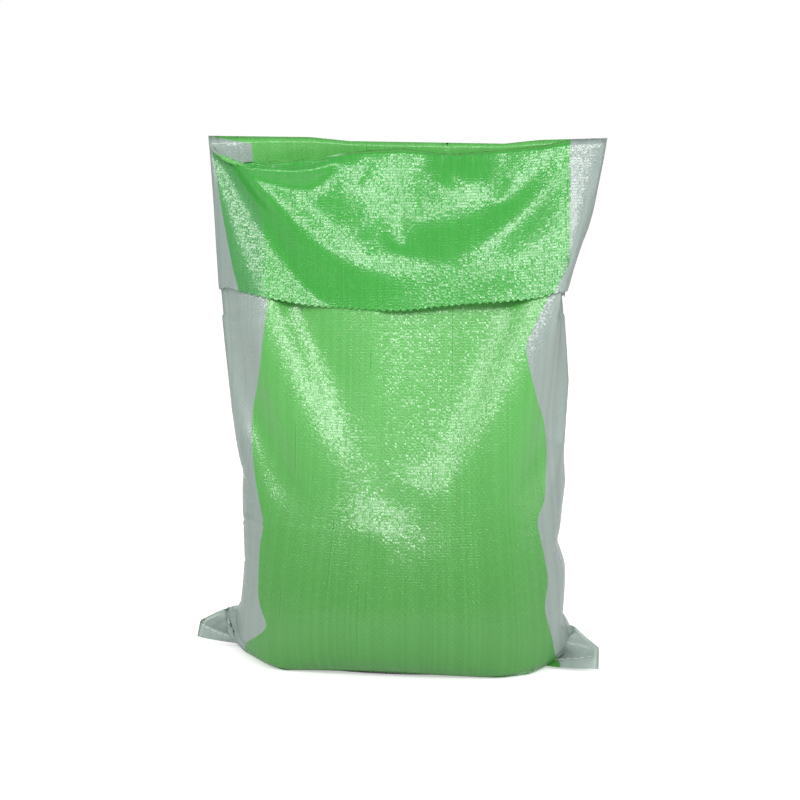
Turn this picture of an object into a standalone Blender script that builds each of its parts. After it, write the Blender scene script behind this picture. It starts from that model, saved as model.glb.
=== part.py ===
"""A filled woven polypropylene bag, standing on its sewn bottom with its mouth turned down as a cuff.

The bag is one circular woven sleeve, 450 mm wide when flat. Its bottom is hemmed and sewn straight across,
so that the two corners stick out as flat ears. The fill stands in the lower part, and above it the
cloth narrows from a round belly to a flat mouth, which leans back a little over the seam. Metres, +Z up,
front towards -Y, origin on the floor under the middle of the bag.
"""

import math

import bpy
from mathutils import Vector

# Driving dimensions of the bag, in metres
CLOTH = 0.0012  # wall of the sleeve
SIDE_WALL = 0.0045  # wall along the folded sides, where the two layers meet
CUFF_GAP = 0.0012  # air between the cuff and the sleeve under it
HEIGHT = 0.582  # top of the turned mouth
CUFF_DROP = 0.164  # from the top of the mouth down to the cut edge at the sides
FILL_EDGE = 0.245  # the fill meets the walls just under this height
FILL_CROWN = 0.016  # how far the fill rises from the walls to its middle
SEAT_GAP = 0.0003  # clearance between touching pieces
FLOOR_WALL = 0.0030  # the hem folded under the bag makes its bottom thicker

# Horizontal sections: height, left and right reach in x, front, back and middle in y
SECTIONS = (
    (0.000, -0.160, 0.168, -0.080, 0.080, 0.000),
    (0.008, -0.174, 0.182, -0.099, 0.096, 0.000),
    (0.035, -0.184, 0.191, -0.117, 0.114, 0.001),
    (0.070, -0.175, 0.188, -0.122, 0.121, 0.001),
    (0.105, -0.171, 0.187, -0.118, 0.120, 0.002),
    (0.145, -0.173, 0.182, -0.109, 0.113, 0.004),
    (0.195, -0.178, 0.188, -0.097, 0.102, 0.007),
    (0.250, -0.187, 0.188, -0.090, 0.093, 0.009),
    (0.305, -0.195, 0.190, -0.082, 0.085, 0.011),
    (0.360, -0.200, 0.187, -0.060, 0.075, 0.014),
    (0.425, -0.205, 0.186, -0.028, 0.062, 0.017),
    (0.490, -0.209, 0.212, -0.010, 0.050, 0.018),
    (0.550, -0.212, 0.222, 0.002, 0.036, 0.018),
    (0.582, -0.215, 0.229, 0.006, 0.029, 0.017),
)

# Squareness of each quarter of the sections at a height: 2 is round, less is pointed, more is square
FRONT_LEFT = ((0.000, 2.9), (0.035, 2.4), (0.120, 2.4), (0.180, 2.1), (0.230, 1.6), (0.300, 1.3),
              (0.360, 1.6), (0.425, 2.3), (0.582, 3.0))
FRONT_RIGHT = ((0.000, 3.0), (0.035, 2.5), (0.145, 2.3), (0.200, 2.1), (0.300, 1.8), (0.350, 3.0),
               (0.425, 5.0), (0.582, 3.0))
BACK_LEFT = ((0.000, 3.0), (0.035, 2.5), (0.105, 2.5), (0.180, 2.2), (0.280, 1.8), (0.425, 1.8),
             (0.582, 3.0))
BACK_RIGHT = ((0.000, 2.8), (0.035, 2.3), (0.145, 2.2), (0.280, 2.2), (0.340, 2.8), (0.425, 5.0),
              (0.582, 3.0))

# The panel lies flat between the belly and the mouth: (height, y of the panel)
FRONT_FACET = ((0.068, -0.127), (0.360, -0.032), (0.460, -0.007), (0.582, 0.009))
BACK_FACET = ((0.060, 0.128), (0.195, 0.099), (0.360, 0.062), (0.460, 0.043), (0.582, 0.026))
FACET_EDGE = 0.004  # how softly the facet meets the rounded sides

# A broad fold stands out along the right edge of the front panel: (height, x) of its top, and its size
RIGHT_FOLD = ((0.190, 0.095), (0.280, 0.124), (0.360, 0.151), (0.430, 0.176))
FOLD_RISE = 0.012
FOLD_HALF_WIDTH = 0.035

# How far the turned mouth lies under HEIGHT, as (x, drop), and the height where that starts to show
FRONT_MOUTH = ((-0.217, 0.003), (-0.185, 0.031), (-0.095, 0.023), (-0.045, 0.016), (0.005, 0.013),
               (0.060, 0.018), (0.150, 0.010), (0.190, 0.003), (0.229, 0.002))
BACK_MOUTH = ((-0.217, 0.000), (-0.100, 0.001), (-0.055, 0.006), (0.115, 0.009), (0.229, 0.002))
MOUTH_SHAPED_FROM = 0.440
CUFF_SAG = 0.024  # the cut edge hangs lower in the middle of the bag

AROUND = 52  # points on each section
WALL_RINGS = 18
CUFF_RINGS = 6
WALL_FOOT, WALL_HEAD = 0.060, HEIGHT - 0.004
UPRIGHT = [WALL_FOOT + (WALL_HEAD - WALL_FOOT) * k / (WALL_RINGS - 1) for k in range(WALL_RINGS)]
OUTSIDE_HEIGHTS = [0.0, 0.003, 0.008, 0.018, 0.035] + UPRIGHT
INSIDE_HEIGHTS = [FLOOR_WALL, 0.008, 0.018, 0.035] + UPRIGHT

# The sewn corners: fold and seam of each ear as (x, y, z), from the bag to the tip
EAR_WALL = 0.0024
EAR_ROOT = 0.0020  # how deep the flap runs into the side wall
EAR_RUNGS = 7
LEFT_EAR = {"fold": ((-0.176, 0.008, 0.064), (-0.202, -0.011, 0.048), (-0.225, -0.026, 0.033)),
            "seam": ((-0.165, 0.003, 0.006), (-0.196, -0.013, 0.010), (-0.2285, -0.030, 0.015))}
RIGHT_EAR = {"fold": ((0.186, 0.004, 0.050), (0.206, -0.022, 0.037), (0.229, -0.051, 0.024)),
             "seam": ((0.175, -0.004, 0.006), (0.200, -0.031, 0.0050), (0.2285, -0.063, 0.0035))}
# The seam's way under the bag, as (x, y) of its stitches
UNDER_SEAM = ((-0.150, -0.008), (-0.115, -0.006), (-0.055, 0.002), (0.000, 0.003), (0.060, -0.007),
              (0.120, -0.020), (0.158, -0.024))

THREAD = 0.0010
STITCH_INSET = 0.012  # from the hem's edge to the row of stitches

GREEN = (0.13, 0.46, 0.12)
THREAD_WHITE = (0.85, 0.86, 0.84)
FILL_GREY = (0.62, 0.64, 0.61)


def clear_scene():
    for item in list(bpy.data.objects):
        bpy.data.objects.remove(item)


def smooth(t):
    t = min(1.0, max(0.0, t))
    return t * t * (3.0 - 2.0 * t)


def along(table, at):
    """Value of a (position, value) table at a position, eased between its entries without overshoot."""
    for (low, first), (high, second) in zip(table, table[1:]):
        if at <= high:
            return first + (second - first) * smooth((at - low) / (high - low))
    return table[-1][1]


def section_at(z):
    """The values of the section at height z, in the order of the table, without its height."""
    rows = SECTIONS
    index = 0
    while index < len(rows) - 2 and z > rows[index + 1][0]:
        index += 1
    low, high = rows[index], rows[index + 1]
    before, after = rows[max(index - 1, 0)], rows[min(index + 2, len(rows) - 1)]
    span = high[0] - low[0]
    t = min(1.0, max(0.0, (z - low[0]) / span))
    values = []
    for k in range(1, len(low)):
        leave = reach = high[k] - low[k]
        if before is not low:
            leave = (high[k] - before[k]) / (high[0] - before[0]) * span
        if after is not high:
            reach = (after[k] - low[k]) / (after[0] - low[0]) * span
        values.append((2 * t**3 - 3 * t**2 + 1) * low[k] + (t**3 - 2 * t**2 + t) * leave
                      + (3 * t**2 - 2 * t**3) * high[k] + (t**3 - t**2) * reach)
    return values


def straight(table, at):
    """Value of a (position, value) table at a position, on straight lines between its entries."""
    for (low, first), (high, second) in zip(table, table[1:]):
        if at <= high:
            return first + (second - first) * max(0.0, (at - low) / (high - low))
    return table[-1][1]


def lesser(a, b):
    """The smaller of two depths, eased where they meet."""
    return -FACET_EDGE * math.log(math.exp(-a / FACET_EDGE) + math.exp(-b / FACET_EDGE))


def fold_rise(x, z):
    """How far the fold beside the front panel stands out."""
    ends = smooth((z - 0.19) / 0.09) * smooth((0.46 - z) / 0.06)
    return FOLD_RISE * ends * smooth(1 - abs(x - straight(RIGHT_FOLD, z)) / FOLD_HALF_WIDTH)


def skin(angle, z, inset):
    """A point of the sleeve. inset 0 is its outer face, CLOTH its inner face, the cuff lies at less than 0."""
    left, right, front, back, middle = section_at(z)
    on_right = math.cos(angle) > 0
    in_front = math.sin(angle) < 0
    if in_front:
        corner = FRONT_RIGHT if on_right else FRONT_LEFT
    else:
        corner = BACK_RIGHT if on_right else BACK_LEFT
    square = straight(corner, z)
    side_share = inset / CLOTH * SIDE_WALL if inset > 0 else inset
    x = abs(math.cos(angle)) ** (2 / square) * (right - side_share if on_right else left + side_share)
    deep = abs(math.sin(angle)) ** (2 / square)
    if in_front:
        depth = lesser((middle - front - inset) * deep, middle - straight(FRONT_FACET, z) - inset)
        y = middle - depth - fold_rise(x, z)
        drop = along(FRONT_MOUTH, x)
    else:
        depth = lesser((back - middle - inset) * deep, straight(BACK_FACET, z) - middle - inset)
        y = middle + depth
        drop = along(BACK_MOUTH, x)
    shaped = smooth((z - MOUTH_SHAPED_FROM) / (HEIGHT - MOUTH_SHAPED_FROM))
    return Vector((x, y, z - drop * shaped))


def ring(z, inset, lift=0.0):
    """One closed row of points around the bag at height z."""
    step = 2 * math.pi / AROUND
    rise = Vector((0.0, 0.0, lift))
    return [skin(step * (k + 0.5), z, inset) + rise for k in range(AROUND)]


def spaced(low, high, count):
    return [low + (high - low) * k / (count - 1) for k in range(count)]


def mesh_object(name, points, faces):
    mesh = bpy.data.meshes.new(name)
    mesh.from_pydata(points, [], faces)
    mesh.update()
    made = bpy.data.objects.new(name, mesh)
    bpy.context.scene.collection.objects.link(made)
    return made


def lofted(name, rings, colour, roughness):
    """A closed solid through rows of points, with a flat cap on the first and on the last row."""
    points = [p for row in rings for p in row]
    faces = [list(range(AROUND))[::-1]]
    for r in range(len(rings) - 1):
        for k in range(AROUND):
            a, b = r * AROUND + k, r * AROUND + (k + 1) % AROUND
            # The diagonal always climbs the same way, so that facing walls stay parallel
            if rings[r + 1][0].z > rings[r][0].z:
                faces += [[a, b, b + AROUND], [a, b + AROUND, a + AROUND]]
            else:
                faces += [[a, b, a + AROUND], [b, b + AROUND, a + AROUND]]
    last = (len(rings) - 1) * AROUND
    faces.append(list(range(last, last + AROUND)))
    made = mesh_object(name, points, faces)
    made.data.shade_smooth()
    made.data.materials.append(material(name, colour, roughness))
    return made


def material(name, colour, roughness):
    finish = bpy.data.materials.new(name)
    finish.use_nodes = True
    shader = finish.node_tree.nodes["Principled BSDF"]
    shader.inputs["Base Color"].default_value = (*colour, 1.0)
    shader.inputs["Roughness"].default_value = roughness
    shader.inputs["Metallic"].default_value = 0.0
    return finish


def cuff_ring(share, inset):
    """A row of the cuff, share 0 at the mouth and 1 at the cut edge, which sags in the middle."""
    row = ring(HEIGHT - share * CUFF_DROP, inset)
    for p in row:
        p.z -= share * CUFF_SAG * (1 - min(1.0, abs(p.x) / 0.20) ** 2)
    return row


def sleeve_rings():
    """Rows from the outer bottom up the outside, under and over the cuff, and down the inside."""
    rows = [ring(z, 0.0) for z in OUTSIDE_HEIGHTS]
    shares = spaced(0.03, 1.0, CUFF_RINGS)
    under, over = -CUFF_GAP, -CUFF_GAP - CLOTH
    rows += [cuff_ring(s, under) for s in shares]
    rows += [cuff_ring(s, over) for s in reversed(shares)]
    rows.append(ring(HEIGHT, -CUFF_GAP / 2, 0.0016))
    rows.append(ring(HEIGHT, CLOTH * 0.6, 0.0010))
    rows += [ring(z, CLOTH) for z in reversed(INSIDE_HEIGHTS)]
    return rows


def as_guide(made):
    """A shape that only adds to or cuts another: shown as wire and left out of the model."""
    made.hide_render = True
    made.display_type = "WIRE"
    return made


def ear(name, outline):
    """A sewn corner: a thin flat flap between its side fold and its seam, rooted in the side wall."""
    on_right = outline["fold"][0][0] > 0
    points, faces = [], []
    for column, (fold, seam) in enumerate(zip(outline["fold"], outline["seam"])):
        for share in spaced(0.0, 1.0, EAR_RUNGS):
            point = Vector(seam).lerp(Vector(fold), share)
            if column == 0:
                left, right = section_at(point.z)[:2]
                point.x = right - EAR_ROOT if on_right else left + EAR_ROOT
            points.append(point)
    for column in range(len(outline["fold"]) - 1):
        for rung in range(EAR_RUNGS - 1):
            a = column * EAR_RUNGS + rung
            b = a + EAR_RUNGS
            faces.append([a, b, b + 1, a + 1])
    flap = as_guide(mesh_object(name, points, faces))
    thickness = flap.modifiers.new("thickness", "SOLIDIFY")
    thickness.thickness = EAR_WALL
    thickness.offset = 0.0
    return flap


def boolean(target, tool, operation):
    cut = target.modifiers.new(tool.name, "BOOLEAN")
    cut.operation = operation
    cut.object = tool


def stitch_route():
    """The line of stitches: along one ear, under the bag beside its seam, and along the other ear."""
    low = THREAD / 2 + 0.0001
    face = -EAR_WALL / 2 - 0.0002
    left = [Vector(s).lerp(Vector(t), STITCH_INSET / (Vector(t) - Vector(s)).length) + Vector((0, face, 0))
            for s, t in zip(LEFT_EAR["seam"], LEFT_EAR["fold"])]
    right = [Vector(s).lerp(Vector(t), STITCH_INSET / (Vector(t) - Vector(s)).length) + Vector((0, face, 0))
             for s, t in zip(RIGHT_EAR["seam"], RIGHT_EAR["fold"])]
    under = [Vector((x, y, low)) for x, y in UNDER_SEAM]
    left_turn = [Vector((-0.1770, -0.0065, 0.0150)), Vector((-0.1690, -0.0080, 0.0065)),
                 Vector((-0.1600, -0.0085, 0.0022))]
    right_turn = [Vector((0.1680, -0.0245, 0.0022)), Vector((0.1790, -0.0240, 0.0068))]
    return [left[2].lerp(left[1], 0.06), left[1]] + left_turn + under + right_turn + \
        [right[1], right[2].lerp(right[1], 0.06)]


def curve_through(points, steps):
    """Points on a smooth curve through the given ones, a few for each span."""
    line = []
    for k in range(len(points) - 1):
        p0, p1, p2 = points[max(k - 1, 0)], points[k], points[k + 1]
        p3 = points[min(k + 2, len(points) - 1)]
        for s in range(steps):
            t = s / steps
            line.append(0.5 * ((2 * p1) + (p2 - p0) * t + (2 * p0 - 5 * p1 + 4 * p2 - p3) * t * t
                               + (3 * p1 - p0 - 3 * p2 + p3) * t**3))
    return line + [points[-1]]


def tube(name, points, diameter, sides_resolution):
    """A round closed tube along a line of points, as a mesh made from a bevelled curve."""
    curve = bpy.data.curves.new(name, "CURVE")
    curve.dimensions = "3D"
    curve.bevel_depth = diameter / 2
    curve.bevel_resolution = sides_resolution
    curve.use_fill_caps = True
    spline = curve.splines.new("POLY")
    spline.points.add(len(points) - 1)
    for place, point in zip(spline.points, points):
        place.co = (*point, 1.0)
    source = bpy.data.objects.new(name + "_line", curve)
    bpy.context.scene.collection.objects.link(source)
    bpy.context.view_layer.update()
    mesh = bpy.data.meshes.new_from_object(source)
    bpy.data.objects.remove(source)
    made = bpy.data.objects.new(name, mesh)
    bpy.context.scene.collection.objects.link(made)
    return made


def fill_rings():
    """The bulk fill: it follows the inside of the bag and ends in a low mound."""
    inset = CLOTH + SEAT_GAP
    heights = [z for z in INSIDE_HEIGHTS if z < FILL_EDGE]
    edge = heights[-1]
    heights[0] += SEAT_GAP
    rows = [ring(z, inset) for z in heights]
    rim = rows[-1]
    middle = section_at(edge)[4]
    for share in (0.72, 0.40, 0.14):
        level = edge + FILL_CROWN * (1 - share**2)
        rows.append([Vector((p.x * share, middle + (p.y - middle) * share, level)) for p in rim])
    return rows


def main():
    clear_scene()
    sleeve = lofted("woven_sleeve", sleeve_rings(), GREEN, 0.45)
    for name, outline in (("left_ear", LEFT_EAR), ("right_ear", RIGHT_EAR)):
        boolean(sleeve, ear(name, outline), "UNION")
    line = curve_through(stitch_route(), 4)
    # The groove runs on a little past both ends of the thread
    thread = tube("bottom_stitch", line[1:-1], THREAD, 1)
    thread.data.materials.append(material("bottom_stitch", THREAD_WHITE, 0.6))
    groove = as_guide(tube("stitch_groove", line, THREAD + 2 * SEAT_GAP, 2))
    boolean(sleeve, groove, "DIFFERENCE")
    lofted("bulk_fill", fill_rings(), FILL_GREY, 0.9)


main()
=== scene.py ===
# %% [markdown]
# # A filled woven sack with its mouth turned down
#
# The sack is a tube of woven polypropylene tape. It was cut from a long roll, one end was
# folded over and stitched, pale granules were poured in, and the other end was turned down
# outside as a deep cuff. Two stripes of uncoloured tape run up its sides, so the cloth is
# green in front and behind and nearly clear at the edges.
#
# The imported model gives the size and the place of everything. This script only dresses it.

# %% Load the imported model
import math
from dataclasses import dataclass

import bpy
import numpy as np
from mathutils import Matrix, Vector


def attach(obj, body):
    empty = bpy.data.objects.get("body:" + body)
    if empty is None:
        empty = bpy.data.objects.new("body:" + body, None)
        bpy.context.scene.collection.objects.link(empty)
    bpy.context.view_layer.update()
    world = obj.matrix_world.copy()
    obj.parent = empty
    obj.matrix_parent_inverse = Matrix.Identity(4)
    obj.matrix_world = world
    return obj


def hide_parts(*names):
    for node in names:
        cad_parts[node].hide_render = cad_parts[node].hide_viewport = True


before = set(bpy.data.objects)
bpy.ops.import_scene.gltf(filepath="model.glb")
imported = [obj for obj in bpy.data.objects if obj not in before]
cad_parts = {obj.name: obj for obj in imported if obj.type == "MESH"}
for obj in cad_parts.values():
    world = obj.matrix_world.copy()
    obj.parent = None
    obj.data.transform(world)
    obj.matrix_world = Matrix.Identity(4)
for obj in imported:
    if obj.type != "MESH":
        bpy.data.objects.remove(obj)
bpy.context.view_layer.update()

print("nodes:", sorted(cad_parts))

# %% [markdown]
# ## Camera
#
# A camera is placed by what it looks at, not by typing its position. It looks at a point in
# so that upright edges stay nearly upright.
#
# The outlines further down are measured from the middle of the mouth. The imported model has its
# origin under the middle of the whole sack, whose belly hangs forward, so MIDDLE joins the two.
# Lines that only show where they are seen, like the edge of a stripe, are given as x and z on
# one upright plane, and as_seen puts any point of the cloth on that plane in the same way.

# %% Place the camera
MIDDLE = Vector((0.005, 0.017, 0.0))
AIM = Vector((-0.004, 0.0, 0.288)) + MIDDLE
TURN = math.radians(6)
RISE = math.radians(9)
DISTANCE = 1.765
LENS_MM = 70


def direction(turn, rise):
    """A unit vector that points from the sack towards a place to its front."""
    return Vector((math.sin(turn) * math.cos(rise), -math.cos(turn) * math.cos(rise), math.sin(rise)))


def look_at(item, place, target):
    """Put a camera or a lamp at a place and turn it to a target."""
    item.location = place
    item.rotation_euler = (target - place).to_track_quat("-Z", "Y").to_euler()


camera_data = bpy.data.cameras.new("camera")
camera_data.lens = LENS_MM
camera = bpy.data.objects.new("camera", camera_data)
bpy.context.scene.collection.objects.link(camera)
look_at(camera, AIM + DISTANCE * direction(TURN, RISE), AIM)
bpy.context.scene.camera = camera
eye = np.array(camera.location - MIDDLE)
SEEN_AT = -0.05


def as_seen(points):
    """Where the camera sees points, as x and z on an upright plane through the front of the sack."""
    ray = points - eye
    return eye[::2] + ray[..., ::2] * ((SEEN_AT - eye[1]) / ray[..., 1:2])


print("camera at", [round(v, 3) for v in camera.location])

# %% [markdown]
# ## The cut cloth
#
# Cloth is easiest to think of flat. Around the tube it measures 900 mm, which is twice the
# 450 mm that the empty sack is wide. Up the tube come the part below the mouth's fold and
# then the cuff. A grid of points stands for it: row 0 is the bottom edge, column 0 is the
# left side fold, and the columns go round the front first.

# %% Cut the cloth
ROUND = 0.900
BODY = 0.685
CUFF = 0.184
HEM = 0.018


@dataclass
class Grid:
    """How many points the cloth has, and how far apart they lie when it is flat."""
    columns: int
    rows: int
    ridge: int
    across: float
    up: float

    @property
    def half(self):
        return self.columns // 2

    @property
    def hem(self):
        return max(1, round(HEM / self.up))


def cut(step):
    """A grid of about one step between its points. The mouth's fold lies along one of its rows."""
    columns = round(ROUND / step / 4) * 4
    ridge = round(BODY / step)
    up = BODY / ridge
    return Grid(columns, ridge + round(CUFF / up) + 1, ridge, ROUND / columns, up)


print("coarse grid:", cut(0.015))

# %% [markdown]
# ## What the photograph shows of the shape
#
# A simulation alone gives *a* sack. These few lines make it *this* sack: the two side
# outlines as height and distance from the middle, the fold of the mouth in front and behind,
# how far the mouth gapes, and the tips of the two bottom corners, which stick out as ears.
# The cloth is drawn towards them softly, so that it can still fold as it likes.

# %% Outlines to follow
LEFT_SIDE = [(0.060, -0.180), (0.085, -0.1775), (0.114, -0.175), (0.156, -0.179), (0.191, -0.183),
             (0.238, -0.189), (0.273, -0.197), (0.342, -0.204), (0.411, -0.210), (0.468, -0.214),
             (0.5125, -0.216), (0.584, -0.220)]
RIGHT_SIDE = [(0.038, 0.182), (0.089, 0.1855), (0.106, 0.185), (0.124, 0.177), (0.135, 0.1745),
              (0.153, 0.179), (0.200, 0.184), (0.234, 0.182), (0.314, 0.186), (0.353, 0.183),
              (0.392, 0.1795), (0.4135, 0.177), (0.427, 0.182), (0.458, 0.194), (0.477, 0.204),
              (0.4975, 0.2095), (0.555, 0.220), (0.581, 0.224)]
FRONT_RIDGE = [(-0.220, 0.580), (-0.213, 0.564), (-0.186, 0.5505), (-0.142, 0.556), (-0.096, 0.559),
               (-0.058, 0.566), (-0.0025, 0.570), (0.0305, 0.566), (0.057, 0.564), (0.107, 0.568),
               (0.1505, 0.572), (0.183, 0.579), (0.224, 0.581)]
BACK_RIDGE = [(-0.222, 0.584), (-0.107, 0.5825), (-0.062, 0.578), (-0.0055, 0.577), (0.111, 0.575),
              (0.150, 0.579), (0.224, 0.581)]
MOUTH_GAPE = [(-0.224, 0.0), (-0.190, 0.013), (-0.100, 0.016), (-0.020, 0.008), (0.100, 0.006),
              (0.200, 0.004), (0.226, 0.0)]
LEFT_EAR = np.array([(-0.2335, -0.045, 0.0165), (-0.2300, -0.043, 0.035), (-0.181, -0.004, 0.057)])
RIGHT_EAR = np.array([(0.2235, -0.080, 0.005), (0.2240, -0.068, 0.0255), (0.183, -0.010, 0.045)])


def read_off(table, at):
    """The second value of a table of pairs, between its lines too."""
    first, second = np.array(table).T
    return np.interp(at, first, second)


print("mouth", round(FRONT_RIDGE[6][1] * 1000), "mm high in the middle")

# %% [markdown]
# ## A first guess at the filled shape
#
# A simulation is quick when it starts near its end. Each row begins as an ellipse with the
# cloth's own length around it: flat at the seam, round in the belly, flat again at the mouth.
# Rows above the fold come back down just outside.

# %% First guess
GUESS_DEPTH = [(0, 0.001), (0.07, 0.068), (0.10, 0.088), (0.15, 0.102), (0.22, 0.108), (BODY, 0.010)]
GUESS_HEIGHT = [(0, 0.003), (0.07, 0.004), (0.10, 0.022), (0.15, 0.068), (0.22, 0.138), (BODY, 0.575)]
FIRST_CUFF_GAP = 0.004
TRIES = 30


def ellipse(depth, count):
    """Points evenly spaced round an ellipse that is ROUND long, starting at its left end."""
    turn = np.linspace(0, 2 * math.pi, 721)
    narrow, wide = 0.05, 0.24
    for _ in range(TRIES):
        width = (narrow + wide) / 2
        x, y = -width * np.cos(turn), -depth * np.sin(turn)
        along = np.concatenate([[0], np.cumsum(np.hypot(np.diff(x), np.diff(y)))])
        narrow, wide = (width, wide) if along[-1] < ROUND else (narrow, width)
    at = np.arange(count) / count * along[-1]
    return np.interp(at, along, x), np.interp(at, along, y)


def first_guess(grid):
    """The whole cloth as stacked ellipses."""
    points = np.zeros((grid.rows, grid.columns, 3))
    for row in range(grid.rows):
        up = row * grid.up
        turned_down = up > BODY
        up = 2 * BODY - up if turned_down else up
        depth = read_off(GUESS_DEPTH, up) + (FIRST_CUFF_GAP if turned_down else 0)
        points[row, :, 0], points[row, :, 1] = ellipse(depth, grid.columns)
        points[row, :, 2] = read_off(GUESS_HEIGHT, up)
    return points


print("guess is", first_guess(cut(0.03)).shape, "points")

# %% [markdown]
# ## Threads that don't stretch
#
# Woven tape hardly stretches at all, which is what makes a sack look like a sack: it can only
# fold. Each short length of thread between two points is put back to its flat length, first
# every other one and then those between, so that no point is asked to move twice at once.
# The diagonals are held more softly, because a weave can skew a little.

# %% Keep the threads' lengths
SKEW_STIFFNESS = 0.9
TINY = 1e-12


def correction(start, end, length):
    """Half the move that brings the ends of each thread to their right distance."""
    gap = end - start
    now = np.sqrt((gap * gap).sum(-1, keepdims=True)) + TINY
    return gap * ((now - length) / now * 0.5)


def pull_threads(points, grid):
    """One pass over the threads across, the threads up and the diagonals."""
    move = correction(points[:, 0::2], points[:, 1::2], grid.across)
    points[:, 0::2] += move
    points[:, 1::2] -= move
    move = correction(points[:, 1::2], np.roll(points[:, 0::2], -1, 1), grid.across)
    points[:, 1::2] += move
    points[:, 0::2] -= np.roll(move, 1, 1)
    for first in (0, 1):
        last = first + (grid.rows - first) // 2 * 2
        low, high = points[first:last:2], points[first + 1:last:2]
        move = correction(low, high, grid.up)
        low += move
        high -= move
    slant = math.hypot(grid.across, grid.up)
    for side in (1, -1):
        for first in (0, 1):
            last = first + (grid.rows - first) // 2 * 2
            low, high = points[first:last:2], points[first + 1:last:2]
            move = correction(low, np.roll(high, -side, 1), slant) * SKEW_STIFFNESS
            low += move
            high -= np.roll(move, side, 1)


# %% [markdown]
# ## Cloth that resists bending
#
# A coated weave is springy, so its wrinkles are broad. The usual measure of a bend is how far
# a point lies from the middle of its neighbours. Smoothing that measure, and not the points,
# takes out sharp wrinkles and leaves round ones alone. It is left out where the cloth is
# creased for good: along the two side folds and the fold of the mouth.

# %% Resist bending
SIDE_FOLD = 0.1
NEAR_RIDGE = 0.3


def stay_springy(points, grid, stiffness):
    """Ease out sharp bends, but not the creases."""
    bend = np.roll(points, 1, 1) + np.roll(points, -1, 1) - 2 * points
    bend[1:-1] += points[2:] + points[:-2] - 2 * points[1:-1]
    bend[grid.ridge] = 0
    bend[[grid.ridge - 1, grid.ridge + 1]] *= NEAR_RIDGE
    bend[:, [0, grid.half]] *= SIDE_FOLD
    ease = np.roll(bend, 1, 1) + np.roll(bend, -1, 1) - 2 * bend
    ease[1:-1] += bend[2:] + bend[:-2] - 2 * bend[1:-1]
    ease[0] += bend[1] - bend[0]
    ease[-1] += bend[-2] - bend[-1]
    points -= stiffness * ease


# %% [markdown]
# ## Things that can't pass through each other
#
# Looking for every possible touch would be slow. This cloth can only touch in four ways: its
# front meets its back, the seam holds the two together, the cuff lies on the body just under
# it, and all of it stands on the floor. Each is a simple rule on rows and columns.

# %% Keep the layers apart
WALL_GAP = 0.0016
SEAM_HALF_GAP = 0.0004
CUFF_GAP = 0.0018
FLOOR = 0.0006
FOLD_EASE = 0.012
RIDGE_EASE = 0.006


def outward(points):
    """A vector out of the cloth at each point, as long as the cloth around it is large."""
    across = np.roll(points, -1, 1) - np.roll(points, 1, 1)
    up = np.gradient(points, axis=0) * 2
    return np.cross(across, up) / 4


def stay_apart(points, grid, out):
    """The seam, the front and the back, the cuff on the body, and the floor."""
    front = np.arange(1, grid.half)
    back = grid.columns - front
    seam = slice(0, grid.hem + 1)
    middle = (points[seam, front] + points[seam, back]) / 2
    points[seam, front] = middle
    points[seam, back] = middle
    points[seam, front, 1] -= SEAM_HALF_GAP
    points[seam, back, 1] += SEAM_HALF_GAP
    ease = np.minimum(1, np.minimum(front, grid.half - front) * grid.across / FOLD_EASE)
    body = slice(grid.hem + 1, grid.ridge + 1)
    apart = points[body, back, 1] - points[body, front, 1]
    short = np.maximum(WALL_GAP * ease - apart, 0) / 2
    points[body, front, 1] -= short
    points[body, back, 1] += short
    cuff = np.arange(grid.ridge + 1, grid.rows)
    under = 2 * grid.ridge - cuff
    ease = np.minimum(1, (cuff - grid.ridge) * grid.up / RIDGE_EASE)[:, None]
    proud = ((points[cuff] - points[under]) * out[under]).sum(-1)
    short = (np.maximum(CUFF_GAP * ease - proud, 0) / 2)[..., None] * out[under]
    points[cuff] += short
    points[under] -= short
    np.maximum(points[..., 2], FLOOR, out=points[..., 2])


# %% [markdown]
# ## Drawing the cloth to its outlines
#
# After each step the mouth's fold, the two side folds and the ears are drawn part of the way
# to where the photograph shows them. Part of the way is enough, because it happens again at
# every step, and the threads then share the pull out over the cloth.
#
# A round belly under a flat mouth leaves a flat, pointed facet in front, like the crimped end
# of a tube. Cloth that bulges out of that facet's plane is eased back into it, which leaves
# two long ridges along its edges.

# %% Follow the outlines
HOLD_RIDGE = 0.5
HOLD_SIDES = 0.3
HOLD_EARS = 0.3
HOLD_FACET = 0.1
SIDES_ABOVE = 0.07
LEFT_EAR_ROOT = 0.058
RIGHT_EAR_ROOT = 0.039
EAR_FOLD = 0.062
FACET_TIP = np.array([0.002, -0.105, 0.159])
FACET_TOP = np.array([0.002, -0.016, 0.570])
FACET_SPREAD = 0.15 / (0.400 - 0.159)
FACET_EASE = 0.03


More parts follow.
